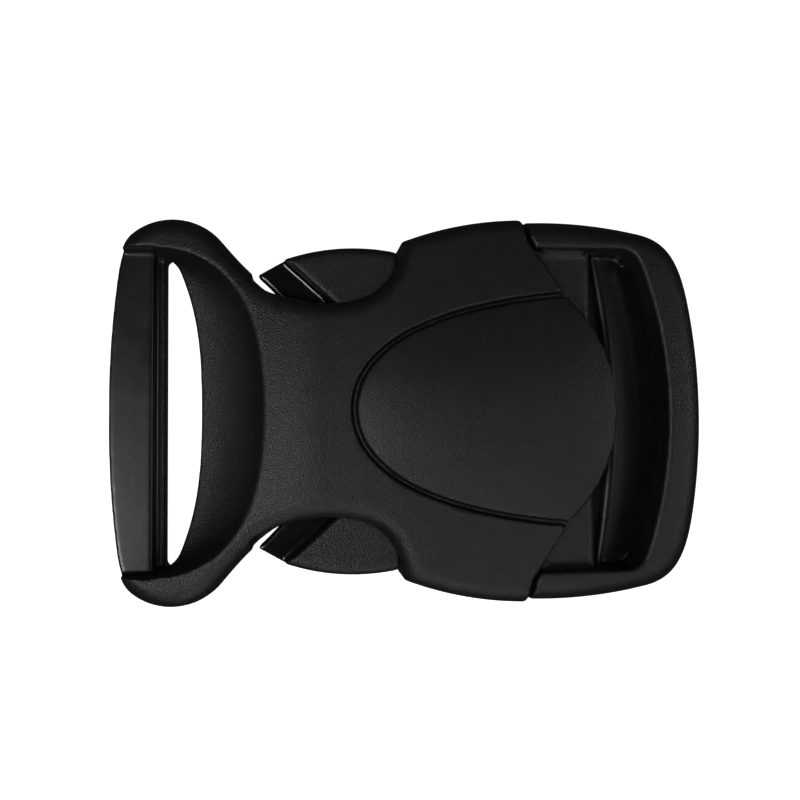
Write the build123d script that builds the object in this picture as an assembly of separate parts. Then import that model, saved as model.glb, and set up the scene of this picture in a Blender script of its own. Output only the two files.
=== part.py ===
"""Side-release buckle for flat webbing: a sleeve-shaped housing with a fixed webbing loop, and an
insert with a ladder-lock webbing adjuster and two sprung prongs that latch in the housing's side
windows. Millimetres. +X is the way the insert pulls out, +Y runs across the webbing, +Z is up.
The origin is the centre of the closed buckle's footprint, on the surface it lies on."""

import os

from build123d import *

# ---- webbing ----
webbing_width = 38.0
webbing_side_gap = 0.8        # free space beside the webbing, each side
webbing_gap = 2.2             # free height for webbing between the ladder bar and the rim

# ---- lengths along X, from the housing's bar to the insert's rim ----
bar_depth = 6.5
slot_gap = 4.6
dish_depth = 8.3
window_length = 17.1
sleeve_length = 15.7
ladder_gap = 9.3
rim_depth = 5.2
mouth_bulge = 10.8            # how far the middle of the mouth stands past its corners
crossbar_setback = 1.7        # the crossbar's rear edge, inside the middle of the mouth

# ---- housing ----
ear_wall = 4.3                # beside the webbing slot
waist_width = 26.8
sleeve_shoulder = 4.9         # the sleeve past the webbing slot, each side
sleeve_taper = 3.5            # each side, from the mouth's corners back to the windows
ear_height = 8.4
roof_wall = 2.6               # over the cavity, at the middle
crest_drop = 1.35             # the waist's crest under the housing's top
bar_height = 5.0
crown_drop = 2.0              # how far the top falls from the middle to the sides
floor_wall = 2.4              # under the cavity
cavity_height = 6.0
side_wall = 2.4
slot_lip_height = 3.2         # the dish's low edge, beside the slot
bar_ledge = 1.1               # the bar's low step beside the slot
rib_thickness = 2.0           # guide channel's walls

# ---- panel on the housing ----
panel_length = 32.5
panel_width = 28.4
panel_rise = 1.5              # its crest over the housing's top
groove_width = 0.7
groove_depth = 0.9

# ---- insert ----
frame_height = 10.2
frame_lift = 0.3              # its underside, over the surface the buckle lies on
rail_wall = 3.9
crossbar_thickness = 2.2      # at its rear edge, where the webbing turns
ladder_inset = 1.65           # its rear edge, inside the rim's outer edge at the middle
ladder_drop = 3.0             # its front edge lies this much under the plate's top
ladder_slope = 1.4            # its top falls this much to the rear
bar_clear_below = 0.9
guide_width = 8.0
arm_thickness = 2.4
head_depth = 7.5              # across, from its inner face to its outer face
catch_bite = 1.6              # how much of the head's end bears on the window's edge

# ---- clearances ----
slide_gap = 0.2               # insert in the housing, above and below
guide_gap = 0.35              # beside the guide
catch_gap = 0.6               # head to window edge, along X
seam_gap = 0.6                # insert's shoulders to the mouth's corners
knuckle_gap = 0.05            # arm's round root in the plate

# ---- places worked out from the sizes above ----
overall_length = (bar_depth + slot_gap + dish_depth + window_length + sleeve_length
                  + mouth_bulge - crossbar_setback + ladder_gap + rim_depth)
x_bar = -overall_length / 2
x_slot = x_bar + bar_depth
x_dish = x_slot + slot_gap
x_crest = x_dish + dish_depth
x_window = x_crest + window_length
x_corner = x_window + sleeve_length
x_mouth = x_corner + mouth_bulge
x_crossbar = x_mouth - crossbar_setback
x_rim = x_crossbar + ladder_gap
x_end = x_rim + rim_depth
x_root = x_corner - 2.2                     # where the prongs' arms leave the plate

slot_half = webbing_width / 2 + webbing_side_gap
ear_half = slot_half + ear_wall
waist_half = waist_width / 2
sleeve_half = slot_half + sleeve_shoulder
window_half = sleeve_half - sleeve_taper
inner_half = sleeve_half - side_wall
window_inner = window_half - side_wall
rail_inner = sleeve_half - rail_wall - 0.2
guide_half = guide_width / 2
rib_inner = guide_half + guide_gap
rib_outer = rib_inner + rib_thickness
head_outer = window_inner + catch_bite + 0.2
head_inner = head_outer - head_depth
arm_inner = head_inner + 0.4
arm_centre = arm_inner + arm_thickness / 2
z_floor = floor_wall
z_ceiling = floor_wall + cavity_height
housing_height = z_ceiling + roof_wall
crest_height = housing_height - crest_drop
z_plate_low = z_floor + slide_gap
z_plate_top = z_ceiling - slide_gap
z_frame_low = frame_lift
z_frame_top = z_frame_low + frame_height


def prism(outline, z_low, z_high):
    """A closed plan outline, raised from z_low to z_high."""
    return Pos(0, 0, z_low) * extrude(outline, z_high - z_low)


def crowned_block(stations, half_width, z_low):
    """A block along X whose top follows (x, z, drop) stations; the top falls by drop at its sides."""
    sections = []
    for x, z, drop in stations:
        with BuildLine(Plane.YZ.offset(x)) as line:
            ThreePointArc((-half_width, z - drop), (0, z), (half_width, z - drop))
            Polyline((half_width, z - drop), (half_width, z_low), (-half_width, z_low),
                     (-half_width, z - drop))
        sections.append(make_face(line.edges()))
    return loft(sections)


def housing_outline():
    """The housing's plan: bar, ears, waist, wings and mouth."""
    ear_radius = 7.7
    ear_x = x_slot + 1.5
    ear_y = ear_half - ear_radius
    with BuildLine() as line:
        bar_end = ThreePointArc((x_bar, 0), (x_bar + 0.22, slot_half * 0.45), (x_bar + 0.9, slot_half * 0.82))
        ear = CenterArc((ear_x, ear_y), ear_radius, 132, -92)
        Spline(bar_end @ 1, ear @ 0, tangents=(bar_end % 1, ear % 0), tangent_scalars=(0.9, 0.9))
        neck = Spline(ear @ 1, (x_crest + 0.2, waist_half + 2.25), (x_crest + 7.6, waist_half),
                      tangents=(ear % 1, (1, 0)))
        scallop = Spline(neck @ 1, (x_window - 2.9, waist_half + 2.1), (x_window, window_half + 0.2),
                         tangents=((1, 0), (0.3, 1)))
        wing = ThreePointArc(scallop @ 1, (x_window + 0.55 * sleeve_length, sleeve_half - 0.75),
                             (x_corner - 0.1, sleeve_half))
        corner = Polyline(wing @ 1, (x_corner + 0.3, sleeve_half - 3.0),
                          (x_corner + 5.6, panel_width / 2 - 0.7))
        ThreePointArc(corner @ 1, (x_mouth - 1.7, panel_width * 0.29), (x_mouth, 0))
        mirror(about=Plane.XZ)
    return make_face(line.edges())


def slot_outline():
    """The webbing slot: straight beside the bar, bowed beside the dish."""
    with BuildLine() as line:
        end = Polyline((x_slot, 0), (x_slot, slot_half - 0.8))
        turn = Spline(end @ 1, (x_slot + 0.5, slot_half), (x_slot + 1.3, slot_half - 0.3),
                      tangents=((0, 1), (0.45, -1)))
        Spline(turn @ 1, (x_dish - 1.2, slot_half * 0.68), (x_dish, 0), tangents=((0.45, -1), (0, -1)))
        mirror(about=Plane.XZ)
    return make_face(line.edges())


def dish_outline(share, z):
    """The dish's plan at height z; share runs from 0 at the slot to 1 at the crest."""
    far = x_dish - 0.3 + (dish_depth + 0.3) * share
    wide = slot_half + 0.3 * share
    shoulder = x_slot + 1.2 + 8.1 * share
    with BuildLine() as line:
        edge = Line((x_slot - bar_ledge, 0), (x_slot - bar_ledge, wide))
        Bezier(edge @ 1, (shoulder, wide), (far, slot_half * (0.6 + 0.09 * share)), (far, 0))
        mirror(about=Plane.XZ)
    return Pos(0, 0, z) * make_face(line.edges())


def panel_outline(margin=0.0):
    """The raised panel's plan, a pointed shield; margin grows it on its curved sides."""
    x_tip = x_mouth - panel_length - margin
    half = panel_width / 2 + margin
    with BuildLine() as line:
        side = Bezier((x_tip, 0), (x_tip, half * 0.67), (x_mouth - 17.5, half * 0.93),
                      (x_mouth - 5.2, half))
        Polyline(side @ 1, (x_mouth + 2, half), (x_mouth + 2, 0))
        mirror(about=Plane.XZ)
    return make_face(line.edges())


def cavity_outline():
    """The sleeve's inside in plan, open at the mouth and at both side windows."""
    back = x_crest - 1.7
    with BuildLine() as line:
        Polyline((back + 2.8, 0), (back + 2.8, rib_outer), (back, head_inner - 1.4), (back, slot_half + 6),
                 (x_window, slot_half + 6), (x_window, window_inner),
                 (x_corner - 5, inner_half - 0.3), (x_mouth + 2, inner_half), (x_mouth + 2, 0))
        mirror(about=Plane.XZ)
    return make_face(line.edges())


def rib_outline():
    """One wall of the guide's channel, with a solid back where the channel ends."""
    with BuildLine() as line:
        start = Polyline((x_root - 6, rib_inner), (x_root - 6, rib_outer - 0.6), (x_root - 7.5, rib_outer))
        back = Polyline(start @ 1, (x_crest - 2, rib_outer), (x_crest - 2, 0), (x_crest + 2.6, 0))
        ThreePointArc(back @ 1, (x_crest + 2.6 + rib_inner * 0.3, rib_inner * 0.7),
                      (x_crest + 2.6 + rib_inner, rib_inner))
        Line((x_crest + 2.6 + rib_inner, rib_inner), (x_root - 6, rib_inner))
    return make_face(line.edges())


def rounded(solid, radius, wanted):
    """The solid with the edges that wanted() picks rounded."""
    return fillet([edge for edge in solid.edges() if wanted(edge)], radius)


def make_housing():
    """Female half: webbing loop, dish, waist, sleeve and the raised panel."""
    outline = housing_outline()
    stations = [(x_bar - 8, ear_height, 0.6), (x_bar - 1, ear_height, 0.6), (x_slot, ear_height + 0.2, 0.7),
                (x_dish, ear_height + 0.5, 0.9), (x_crest - 2, crest_height, 1.2),
                (x_crest + 2.5, housing_height - crest_drop * 0.37, 1.6),
                (x_crest + 8, housing_height - crest_drop * 0.08, 1.9), (x_window, housing_height, crown_drop)]
    flat_length = x_mouth + 8 - x_window
    stations += [(x_window + flat_length * share, housing_height, crown_drop) for share in (0.2, 0.4, 0.6, 0.8, 1)]
    shell = prism(outline, 0, housing_height + 3) & crowned_block(stations, sleeve_half + 1, -1)

    def outer_edge(edge, low, high):
        middle = edge @ 0.5
        flat = edge.geom_type != GeomType.LINE
        return flat and low < middle.Z < high and middle.X < x_corner - 0.3

    shell = rounded(shell, 2.6, lambda edge: outer_edge(edge, 1, 20))
    shell = rounded(shell, 1.2, lambda edge: outer_edge(edge, -1, 1))

    # raised panel, domed both ways
    dome = [(x_mouth - panel_length - 1, housing_height - 0.1, 3.9),
            (x_mouth - panel_length * 0.86, housing_height + panel_rise * 0.63, 4.2),
            (x_mouth - panel_length * 0.6, housing_height + panel_rise * 0.95, 3.8),
            (x_mouth - panel_length * 0.3, housing_height + panel_rise, 3.0),
            (x_mouth + 1, housing_height + panel_rise * 0.6, 2.5)]
    panel = prism(panel_outline() & outline, housing_height - 3, housing_height + 5)
    panel = panel & crowned_block(dome, sleeve_half * 0.7, 2)
    groove = prism(panel_outline(groove_width) - panel_outline(), housing_height - 4, housing_height + 5)
    lowered = [(x, z - groove_depth, drop) for x, z, drop in stations]
    groove = groove - crowned_block(lowered, sleeve_half + 1, -1)
    shell = shell - groove
    shell = shell + panel

    # bar, webbing slot and dish
    bar_top = Pos(x_bar - 2, 0, bar_height) * Box(
        2 + bar_depth - bar_ledge, 2 * slot_half + 0.6, 20, align=(Align.MIN, Align.CENTER, Align.MIN))
    slot = prism(slot_outline(), -1, slot_lip_height + 0.5)
    heights = [slot_lip_height, slot_lip_height + 1.2, slot_lip_height + 3.4, crest_height + 0.65]
    shares = [0.0, 0.34, 0.7, 1.0]
    dish = loft([dish_outline(share, z) for share, z in zip(shares, heights)])
    shell = shell - bar_top - slot - dish

    # the inside
    cavity = prism(cavity_outline(), z_floor, z_ceiling)
    ribs = prism(rib_outline(), z_floor, z_ceiling)
    cavity = cavity - ribs - mirror(ribs, about=Plane.XZ)
    return shell - cavity


def frame_outline():
    """The insert's outer plan behind the mouth: shoulders, rails and rim."""
    with BuildLine() as line:
        shoulder = Polyline((x_crossbar - 3, 0), (x_crossbar - 3, rail_inner),
                            (x_corner + 0.9 + seam_gap, rail_inner), (x_corner + 0.25 + seam_gap, sleeve_half - 2.8),
                            (x_corner - 0.15 + seam_gap, sleeve_half - 0.3))
        side = ThreePointArc(shoulder @ 1, (x_crossbar - 0.4, sleeve_half - 0.4), (x_rim - 2.3, sleeve_half - 1.5))
        end_y = sleeve_half * 0.46
        back = ThreePointArc((x_end - 0.7, end_y), (x_end - 0.17, end_y / 2), (x_end, 0))
        Bezier(side @ 1, (side @ 1) + (side % 1) * 5.0, (back @ 0) - (back % 0) * 6.6, back @ 0)
        mirror(about=Plane.XZ)
    return make_face(line.edges())


def opening_outline():
    """The webbing opening between crossbar and rim, in plan."""
    with BuildLine() as line:
        edge = Polyline((x_crossbar, 0), (x_crossbar, rail_inner), (x_rim - 5.6, rail_inner))
        corner_y = rail_inner - 2.8
        back = ThreePointArc((x_rim - 2.75, corner_y), (x_rim - 0.68, corner_y / 2), (x_rim, 0))
        Bezier(edge @ 1, (x_rim - 4.1, rail_inner), (back @ 0) - (back % 0) * 1.9, back @ 0)
        mirror(about=Plane.XZ)
    return make_face(line.edges())


def ladder_bar():
    """The bar the webbing wraps: a bowed wedge, its top falling to the rear under the rim."""
    top = z_plate_top - ladder_drop
    bow = 2.3
    x_front = x_crossbar + 0.6
    with BuildLine() as line:
        path = ThreePointArc((x_front, -rail_inner - 0.3), (x_front + bow, 0), (x_front, rail_inner + 0.3))
    start = Plane(origin=path @ 0, x_dir=(0, 0, 1), z_dir=path % 0)
    rear = x_end - ladder_inset - x_front - bow
    with BuildLine(start) as section:
        nose = Line((bar_clear_below, 0), (top - 1.2, 0))
        tip = Bezier(nose @ 1, (top - 0.45, 0), (top, 0.45), (top, 1.2))
        Polyline(tip @ 1, (top - ladder_slope, rear - 0.4), (top - ladder_slope - 0.5, rear),
                 (bar_clear_below + 0.4, rear), (bar_clear_below, rear - 0.4), nose @ 0)
    bar = sweep(make_face(section.edges()), path=line.wire())
    return bar & Box(2 * x_end, 2 * rail_inner + 0.8, 40)


def make_ring():
    """Rails and rim: the rounded frame behind the mouth."""
    stations = [(x_corner - 1, z_frame_top, 1.3), (x_crossbar, z_frame_top, 1.3), (x_end + 1, z_frame_top, 1.3)]
    ring = prism(frame_outline(), z_frame_low, z_frame_top + 1)
    ring = ring & crowned_block(stations, sleeve_half + 1, -1)

    def outer_edge(edge):
        middle = edge @ 0.5
        return edge.geom_type != GeomType.LINE and middle.X > x_corner + 2 and edge.length > 5

    ring = rounded(ring, 3.0, outer_edge)
    ring = ring - prism(opening_outline(), -1, z_frame_top + 2)
    ring = ring - Pos(x_crossbar - 5, 0, 0) * Box(10, 2 * rail_inner, 40)

    def inner_edge(edge):
        middle = edge @ 0.5
        return edge.geom_type != GeomType.LINE and middle.Z > z_plate_top and abs(middle.X - x_rim + 1) < 1.2 \
            and edge.length > 8

    ring = chamfer([edge for edge in ring.edges() if inner_edge(edge)], 0.35)

    # the rim stands clear of the bar so the webbing can leave under it
    exit_low = z_plate_top - ladder_drop - ladder_slope + webbing_gap
    exit_box = Pos(x_rim - 6, 0, z_frame_low - 1) * Box(
        20, 2 * slot_half - 0.8, exit_low - z_frame_low + 1, align=(Align.MIN, Align.CENTER, Align.MIN))
    return ring - exit_box


def make_plate():
    """The insert's plate with its round knuckle seats, its thin rear edge and the guide."""
    wide = inner_half - 1.3
    x_step = x_corner + 1.6 + seam_gap
    with BuildLine() as line:
        Polyline((x_root, 0), (x_root, wide - 1), (x_root + 1, wide), (x_step, wide), (x_step, rail_inner + 0.5),
                 (x_crossbar, rail_inner + 0.5), (x_crossbar, 0))
        mirror(about=Plane.XZ)
    plate = prism(make_face(line.edges()), z_plate_low, z_plate_top)
    for side in (-1, 1):
        seat = Cylinder(arm_thickness / 2 + knuckle_gap, 40)
        plate = plate - Pos(x_root, side * arm_centre, 0) * seat

    # the rear edge is thin underneath, where the webbing turns
    with BuildLine(Plane.XZ) as line:
        thin = z_plate_top - crossbar_thickness
        Polyline((x_crossbar - 3.2, z_plate_low - 1), (x_crossbar - 3.2, z_plate_low), (x_crossbar, thin),
                 (x_crossbar + 1, thin), (x_crossbar + 1, z_plate_low - 1), (x_crossbar - 3.2, z_plate_low - 1))
    plate = plate - extrude(make_face(line.edges()), 2 * rail_inner, both=True)

    with BuildLine(Plane.XZ) as line:
        Polyline((x_crossbar - 0.7, z_plate_top + 1), (x_crossbar - 0.7, z_plate_top),
                 (x_crossbar + 0.2, z_plate_top - 0.5), (x_crossbar + 0.2, z_plate_top + 1),
                 (x_crossbar - 0.7, z_plate_top + 1))
    plate = plate - extrude(make_face(line.edges()), rail_inner, both=True)

    # a sloping corner where the plate meets each rail
    rise = (z_frame_top - 1.0 - z_plate_top) * 0.8
    for side in (-1, 1):
        with BuildLine(Plane.YZ.offset(x_step + 0.4)) as line:
            Polyline((side * (rail_inner - 0.9), z_plate_top), (side * (rail_inner + 0.3), z_plate_top + rise),
                     (side * (rail_inner + 0.3), z_plate_top - 0.5), (side * (rail_inner - 0.9), z_plate_top - 0.5),
                     (side * (rail_inner - 0.9), z_plate_top))
        plate = plate + extrude(make_face(line.edges()), x_crossbar - 1.2 - x_step, dir=(1, 0, 0))

    nose = x_crest + 2.6 + rib_inner + 0.5
    with BuildLine() as line:
        start = Line((x_root + 0.5, 0), (x_root + 0.5, guide_half))
        flank = Line(start @ 1, (nose, guide_half))
        ThreePointArc(flank @ 1, (nose - guide_half * 0.7071, guide_half * 0.7071), (nose - guide_half, 0))
        mirror(about=Plane.XZ)
    return plate + prism(make_face(line.edges()), z_plate_low, z_plate_top)


def make_spring_arm():
    """The +Y prong's arm, with a round root that bends in the plate's seat."""
    root = Pos(x_root, arm_centre, z_plate_low) * Cylinder(
        arm_thickness / 2, z_plate_top - z_plate_low, align=(Align.CENTER, Align.CENTER, Align.MIN))
    x_head = x_window - catch_gap
    arm = Pos(x_head, arm_centre, z_plate_low) * Box(
        x_root - x_head, arm_thickness, z_plate_top - z_plate_low, align=(Align.MIN, Align.CENTER, Align.MIN))
    return root + arm


def make_latch_head():
    """The +Y prong's head: a full-height finger pad and a thinner nose that leads it in."""
    x_catch = x_window - catch_gap
    x_tip = x_crest - 1.05
    y_tip = head_outer - 3.5
    x_pad = x_tip + 3.2                      # where the pad's slanted front starts
    with BuildLine() as line:
        catch = Polyline((x_catch, head_inner), (x_catch, head_outer - 0.75), (x_catch - 0.3, head_outer - 0.4))
        outer = ThreePointArc(catch @ 1, (x_catch - 6, head_outer), (x_pad, head_outer - 1.65))
        Polyline(outer @ 1, (x_tip, y_tip), (x_tip + 1.15, y_tip - 1.1), (x_tip + 3.4, head_inner + 0.6),
                 (x_tip + 8, head_inner), (x_catch, head_inner))
    head = prism(make_face(line.edges()), z_plate_low, z_plate_top)

    # the nose in front of the slant is thinner
    z_middle = (z_plate_low + z_plate_top) / 2
    slant = Polyline((x_pad, head_outer + 1), (x_pad, head_outer - 1.6), (x_tip + 9.8, head_inner),
                     (x_tip + 9.8, head_inner - 1), (x_tip - 2, head_inner - 1), (x_tip - 2, head_outer + 1),
                     (x_pad, head_outer + 1))
    lead = make_face(slant.edges())
    head = head - prism(lead, z_middle + 0.9, z_plate_top + 1) - prism(lead, z_plate_low - 1, z_middle - 0.9)

    def pad_edge(edge):
        middle = edge @ 0.5
        level = abs(abs(middle.Z - z_middle) - (z_plate_top - z_middle)) < 0.01
        return level and edge.geom_type == GeomType.CIRCLE

    def slant_edge(edge):
        middle = edge @ 0.5
        level = abs(abs(middle.Z - z_middle) - (z_plate_top - z_middle)) < 0.01
        along = (edge @ 1) - (edge @ 0)
        return level and edge.length > 4 and abs(abs(along.X) - abs(along.Y)) < 0.3 * edge.length

    head = chamfer([edge for edge in head.edges() if slant_edge(edge)], 0.45)
    return rounded(head, 1.2, pad_edge)


os.makedirs("parts", exist_ok=True)
housing = make_housing()
insert_frame = make_ring() + make_plate() + ladder_bar()
spring_arm = make_spring_arm()
latch_head = make_latch_head()

for name, solid in (("housing", housing), ("insert_frame", insert_frame), ("spring_arm", spring_arm),
                    ("latch_head", latch_head)):
    print(name, solid.is_valid, round(solid.volume, 1), len(solid.solids()))

export_step(housing, "parts/housing.step")
export_step(insert_frame, "parts/insert_frame.step")
export_step(spring_arm, "parts/left_spring_arm.step")
export_step(latch_head, "parts/left_latch_head.step")
export_step(mirror(spring_arm, about=Plane.XZ), "parts/right_spring_arm.step")
export_step(mirror(latch_head, about=Plane.XZ), "parts/right_latch_head.step")
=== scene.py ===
import bpy
import math
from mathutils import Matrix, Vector


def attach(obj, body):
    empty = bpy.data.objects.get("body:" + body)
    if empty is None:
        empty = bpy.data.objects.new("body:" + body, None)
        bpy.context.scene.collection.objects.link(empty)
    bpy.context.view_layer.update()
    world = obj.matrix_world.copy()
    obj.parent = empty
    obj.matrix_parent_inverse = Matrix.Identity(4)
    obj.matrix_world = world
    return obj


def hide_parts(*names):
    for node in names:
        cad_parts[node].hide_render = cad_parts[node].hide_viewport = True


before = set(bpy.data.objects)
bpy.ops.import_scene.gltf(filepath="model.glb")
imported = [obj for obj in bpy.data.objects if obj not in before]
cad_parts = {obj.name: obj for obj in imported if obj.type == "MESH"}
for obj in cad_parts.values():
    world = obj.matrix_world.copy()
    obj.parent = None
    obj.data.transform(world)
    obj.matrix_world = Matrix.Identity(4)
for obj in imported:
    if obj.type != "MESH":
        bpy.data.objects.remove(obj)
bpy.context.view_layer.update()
bpy.ops.object.select_all(action="DESELECT")
print("frame loaded:", ", ".join(sorted(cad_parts)))


class Wire:
    # a shader socket that can be used in a Python sum
    def __init__(self, finish, socket):
        self.finish = finish
        self.socket = socket

    def math(self, operation, *inputs):
        return self.finish.node("ShaderNodeMath", {"operation": operation}, dict(enumerate(inputs)), 0)

    def __add__(self, other):
        return self.math("ADD", self, other)

    def __radd__(self, other):
        return self.math("ADD", other, self)

    def __sub__(self, other):
        return self.math("SUBTRACT", self, other)

    def __rsub__(self, other):
        return self.math("SUBTRACT", other, self)

    def __mul__(self, other):
        return self.math("MULTIPLY", self, other)

    def __rmul__(self, other):
        return self.math("MULTIPLY", other, self)

    def __abs__(self):
        return self.math("ABSOLUTE", self)

    def step(self, low, high):
        # 0 below low, 1 above high, smooth between
        return self.finish.node("ShaderNodeMapRange", {"interpolation_type": "SMOOTHSTEP"}, {
            "Value": self, "From Min": low, "From Max": high}, "Result")


class Finish:
    # one material and its nodes
    def __init__(self, name):
        self.material = bpy.data.materials.new(name)
        self.material.use_nodes = True
        self.tree = self.material.node_tree
        self.shader = self.tree.nodes["Principled BSDF"]
        self.place = self.node("ShaderNodeTexCoord", {}, {}, "Object")
        self.x, self.y, self.z = (
            self.node("ShaderNodeSeparateXYZ", {}, {0: self.place}, axis) for axis in "XYZ")

    def node(self, kind, settings, values, output):
        made = self.tree.nodes.new(kind)
        for name, value in settings.items():
            setattr(made, name, value)
        for name, value in values.items():
            self.connect(made.inputs[name], value)
        return Wire(self, made.outputs[output])

    def connect(self, socket, value):
        if isinstance(value, Wire):
            self.tree.links.new(value.socket, socket)
        else:
            socket.default_value = value

    def noise(self, place, scale, detail, roughness):
        return self.node("ShaderNodeTexNoise", {}, {
            "Vector": place, "Scale": scale, "Detail": detail, "Roughness": roughness}, "Fac")

    def feed(self, name, value):
        self.connect(self.shader.inputs[name], value)


# ---- black moulded plastic ----

# noises are (features per metre, detail, roughness)
plasticLook = {
    "black": (0.0058, 0.0058, 0.0062, 1),
    "worn": (0.0095, 0.0095, 0.0100, 1),
    "ior": 1.48,
    "broadNoise": (230.0, 3.0, 0.55),
    "broadRoughness": 0.16,
    "pebbleScale": 6200.0,      # grains per metre
    "pebbleSmoothness": 0.5,
    "pebbleHeight": 0.8,
    "fineNoise": (11000.0, 2.0, 0.6),
    "fineHeight": 0.5,
    "grainDepth": 0.000055,
    "grainRoughness": 0.31,
    "smoothDepth": 0.000036,
    "smoothRoughness": 0.30,
    "polishedRoughness": 0.10,
    "cloudNoise": (900.0, 4.0, 0.65),       # faint mottling of the smooth places
    "cloudRoughness": 0.12,
    "streakStretch": (500.0, 60.0, 500.0),
    "streakNoise": (1.0, 3.0, 0.6),
    "streakRoughness": 0.10,
}


def mouldedPlastic(name, smoothMask, smoothRoughness):
    finish = Finish(name)
    look = plasticLook
    smooth = smoothMask(finish)
    grain = 1 - smooth
    pebble = finish.node("ShaderNodeTexVoronoi", {"feature": "SMOOTH_F1"}, {
        "Vector": finish.place, "Scale": look["pebbleScale"],
        "Smoothness": look["pebbleSmoothness"]}, "Distance")
    fine = finish.noise(finish.place, *look["fineNoise"])
    broad = finish.noise(finish.place, *look["broadNoise"])
    relief = (pebble * look["pebbleHeight"] + fine * look["fineHeight"]) * grain
    relief = relief + broad * smooth * (look["smoothDepth"] / look["grainDepth"])
    normal = finish.node("ShaderNodeBump", {}, {
        "Strength": 1.0, "Distance": look["grainDepth"], "Height": relief}, "Normal")
    tint = finish.node("ShaderNodeMix", {"data_type": "RGBA"}, {
        0: broad, 6: look["black"], 7: look["worn"]}, 2)
    cloud = finish.noise(finish.place, *look["cloudNoise"])
    stretched = finish.node("ShaderNodeVectorMath", {"operation": "MULTIPLY"}, {
        0: finish.place, 1: look["streakStretch"]}, 0)
    streak = finish.noise(stretched, *look["streakNoise"])
    mottle = (cloud - 0.5) * look["cloudRoughness"] + (streak - 0.5) * look["streakRoughness"]
    roughness = look["grainRoughness"] * grain + smoothRoughness * smooth
    finish.feed("Base Color", tint)
    finish.feed("Roughness", roughness + (broad - 0.5) * look["broadRoughness"] + mottle * smooth)
    finish.feed("Normal", normal)
    finish.feed("IOR", look["ior"])
    return finish.material


# each pair is where the change from one surface to the other starts and ends
smoothPlaces = {
    "barEndX": (-0.0322, -0.0316),
    "barSideY": (0.0200, 0.0206),
    "adjusterStartX": (0.0226, 0.0232),
    "adjusterSideY": (0.0203, 0.0207),
    "adjusterTopZ": (0.0074, 0.0077),
    "noseEndX": (-0.0100, -0.0096),
    "noseTopZ": (0.0066, 0.0071),
}


def barIsSmooth(finish):
    # the strap bar left of the slot came from a polished part of the mould
    pastSide = abs(finish.y).step(*smoothPlaces["barSideY"])
    return (1 - finish.x.step(*smoothPlaces["barEndX"])) * (1 - pastSide)


def adjusterIsSmooth(finish):
    # the ladder bar and the walls of its well, below the rim
    pastSide = abs(finish.y).step(*smoothPlaces["adjusterSideY"])
    pastTop = finish.z.step(*smoothPlaces["adjusterTopZ"])
    return finish.x.step(*smoothPlaces["adjusterStartX"]) * (1 - pastTop) * (1 - pastSide)


def noseIsPolished(finish):
    # the thin lead-in in front of each finger pad
    pastTop = finish.z.step(*smoothPlaces["noseTopZ"])
    return (1 - pastTop) * (1 - finish.x.step(*smoothPlaces["noseEndX"]))


housingPlastic = mouldedPlastic("grained housing plastic", barIsSmooth, plasticLook["smoothRoughness"])
insertPlastic = mouldedPlastic("grained insert plastic", adjusterIsSmooth, plasticLook["smoothRoughness"])
prongPlastic = mouldedPlastic("grained prong plastic", noseIsPolished, plasticLook["polishedRoughness"])
print("materials made")

# ---- softened copies of the CAD solids ----

softening = {
    "mergeDistance": 0.000002,
    "voxel": 0.00022,
    "passes": 5,
    "strength": 0.5,
    "faceLimit": 180000,
}

crest = {
    "fromX": -0.0250,
    "toX": -0.0160,
    "aboveZ": 0.0080,
    "passes": 24,
}


def applyModifier(piece, kind, **settings):
    bpy.ops.object.select_all(action="DESELECT")
    piece.select_set(True)
    bpy.context.view_layer.objects.active = piece
    modifier = piece.modifiers.new(kind.title(), kind)
    for name, value in settings.items():
        setattr(modifier, name, value)
    bpy.ops.object.modifier_apply(modifier=modifier.name)


def softenCrest(piece):
    # the waist's crest over the dish is rounded more than the other edges
    group = piece.vertex_groups.new(name="crest")
    near = [v.index for v in piece.data.vertices
            if crest["fromX"] < v.co.x < crest["toX"] and v.co.z > crest["aboveZ"]]
    group.add(near, 1.0, "REPLACE")
    applyModifier(piece, "SMOOTH", factor=softening["strength"], iterations=crest["passes"],
                  vertex_group="crest")
    piece.vertex_groups.clear()


def softenedCopy(nodeName, pieceName, body, material):
    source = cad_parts[nodeName]
    piece = bpy.data.objects.new(pieceName, source.data.copy())
    bpy.context.scene.collection.objects.link(piece)
    piece.data.name = pieceName
    bpy.ops.object.select_all(action="DESELECT")
    piece.select_set(True)
    bpy.context.view_layer.objects.active = piece
    bpy.ops.object.mode_set(mode="EDIT")
    bpy.ops.mesh.select_all(action="SELECT")
    bpy.ops.mesh.remove_doubles(threshold=softening["mergeDistance"])
    bpy.ops.object.mode_set(mode="OBJECT")
    applyModifier(piece, "REMESH", mode="VOXEL", voxel_size=softening["voxel"])
    applyModifier(piece, "SMOOTH", factor=softening["strength"], iterations=softening["passes"])
    if nodeName == "housing":
        softenCrest(piece)
    faces = sum(len(p.vertices) - 2 for p in piece.data.polygons)
    if faces > softening["faceLimit"]:
        applyModifier(piece, "DECIMATE", ratio=softening["faceLimit"] / faces)
    bpy.ops.object.shade_smooth()
    piece.data.materials.clear()
    piece.data.materials.append(material)
    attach(piece, body)
    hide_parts(nodeName)
    print(pieceName, len(piece.data.polygons), "faces")


softenedCopy("housing", "housing_shell", "housing", housingPlastic)
softenedCopy("insert_frame", "insert_body", "insert", insertPlastic)
for side in ("left", "right"):
    for part in ("spring_arm", "latch_head"):
        softenedCopy(f"{side}_{part}", f"{side}_{part}_moulding", f"{side}_prong",
                     prongPlastic)
bpy.ops.object.select_all(action="DESELECT")

# ---- floor, light and camera ----

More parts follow.
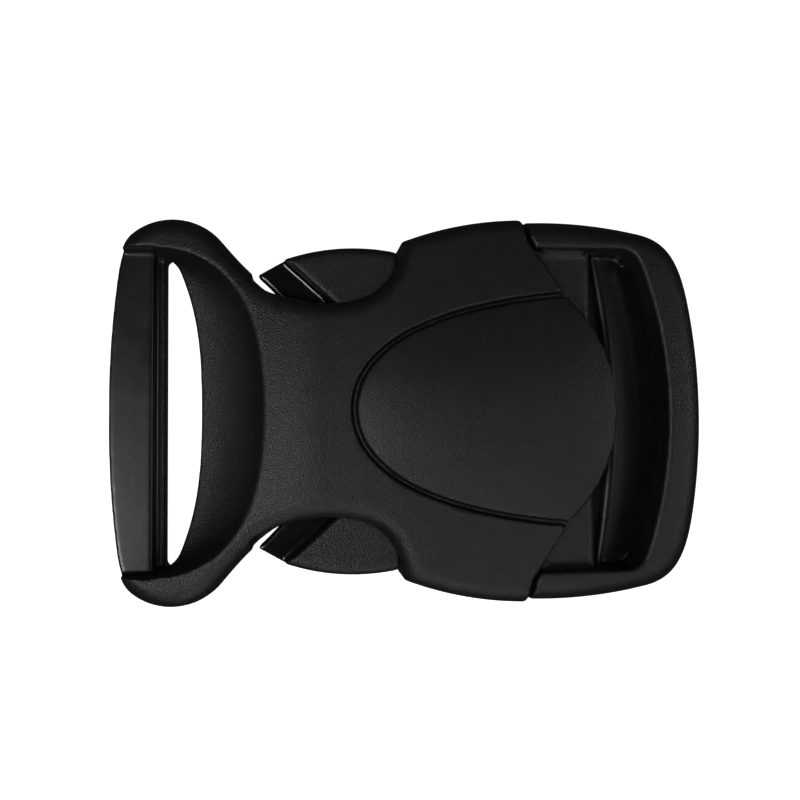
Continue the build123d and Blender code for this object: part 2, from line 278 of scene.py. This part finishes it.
studio = {
    "floorSize": 1.6,
    "floorZ": -0.00005,
    "floorColour": (0.8, 0.8, 0.8, 1),
    "floorRoughness": 0.8,
    "floorGlow": 1.0,
    "white": (1, 1, 1, 1),
    "skyStrength": 0.015,
    "softboxDistance": 0.42,
    "softboxSize": 0.10,
}

bpy.ops.mesh.primitive_plane_add(size=studio["floorSize"], location=(0, 0, studio["floorZ"]))
floor = bpy.context.object
floor.name = "floor"
floorFinish = Finish("pale lit floor")
floorFinish.feed("Base Color", studio["floorColour"])
floorFinish.feed("Roughness", studio["floorRoughness"])
floorFinish.feed("Emission Color", studio["white"])
floorFinish.feed("Emission Strength", studio["floorGlow"])
floor.data.materials.append(floorFinish.material)
floor.visible_glossy = False

world = bpy.data.worlds.new("studio")
world.use_nodes = True
background = world.node_tree.nodes["Background"]
background.inputs["Color"].default_value = studio["white"]
background.inputs["Strength"].default_value = studio["skyStrength"]
bpy.context.scene.world = world
bpy.context.scene.view_settings.view_transform = "Standard"

softboxes = {
    # name: lean towards +X and towards +Y, in degrees from straight up, and power
    "high left": (-20, -5, 0.055),
    "left key": (-32, -15, 0.52),
    "low left": (-72, 0, 0.055),
    "far fill": (0, 35, 0.05),
    "near low": (0, -60, 0.24),
    "near right": (30, -35, 0.12),
    "high right": (35, 0, 0.04),
    "right": (55, 0, 0.16),
}

for name, (leanX, leanY, power) in softboxes.items():
    towards = Vector((math.tan(math.radians(leanX)), math.tan(math.radians(leanY)), 1)).normalized()
    bpy.ops.object.light_add(type="AREA", location=towards * studio["softboxDistance"])
    lamp = bpy.context.object
    lamp.name = name
    lamp.data.shape = "SQUARE"
    lamp.data.size = studio["softboxSize"]
    lamp.data.energy = power
    lamp.rotation_euler = (-towards).to_track_quat("-Z", "Y").to_euler()

cameraView = {
    "place": (-0.01445, -0.00307, 0.10793),
    "turn": (2.498, -7.193, -0.53),     # degrees
    "lens": 36.0,
    "sensor": 36.0,
    "nearest": 0.005,
}
cameraTurn = [math.radians(angle) for angle in cameraView["turn"]]
bpy.ops.object.camera_add(location=cameraView["place"], rotation=cameraTurn)
camera = bpy.context.object
camera.name = "camera"
camera.data.lens = cameraView["lens"]
camera.data.sensor_width = cameraView["sensor"]
camera.data.clip_start = cameraView["nearest"]
bpy.context.scene.camera = camera
print("studio ready")
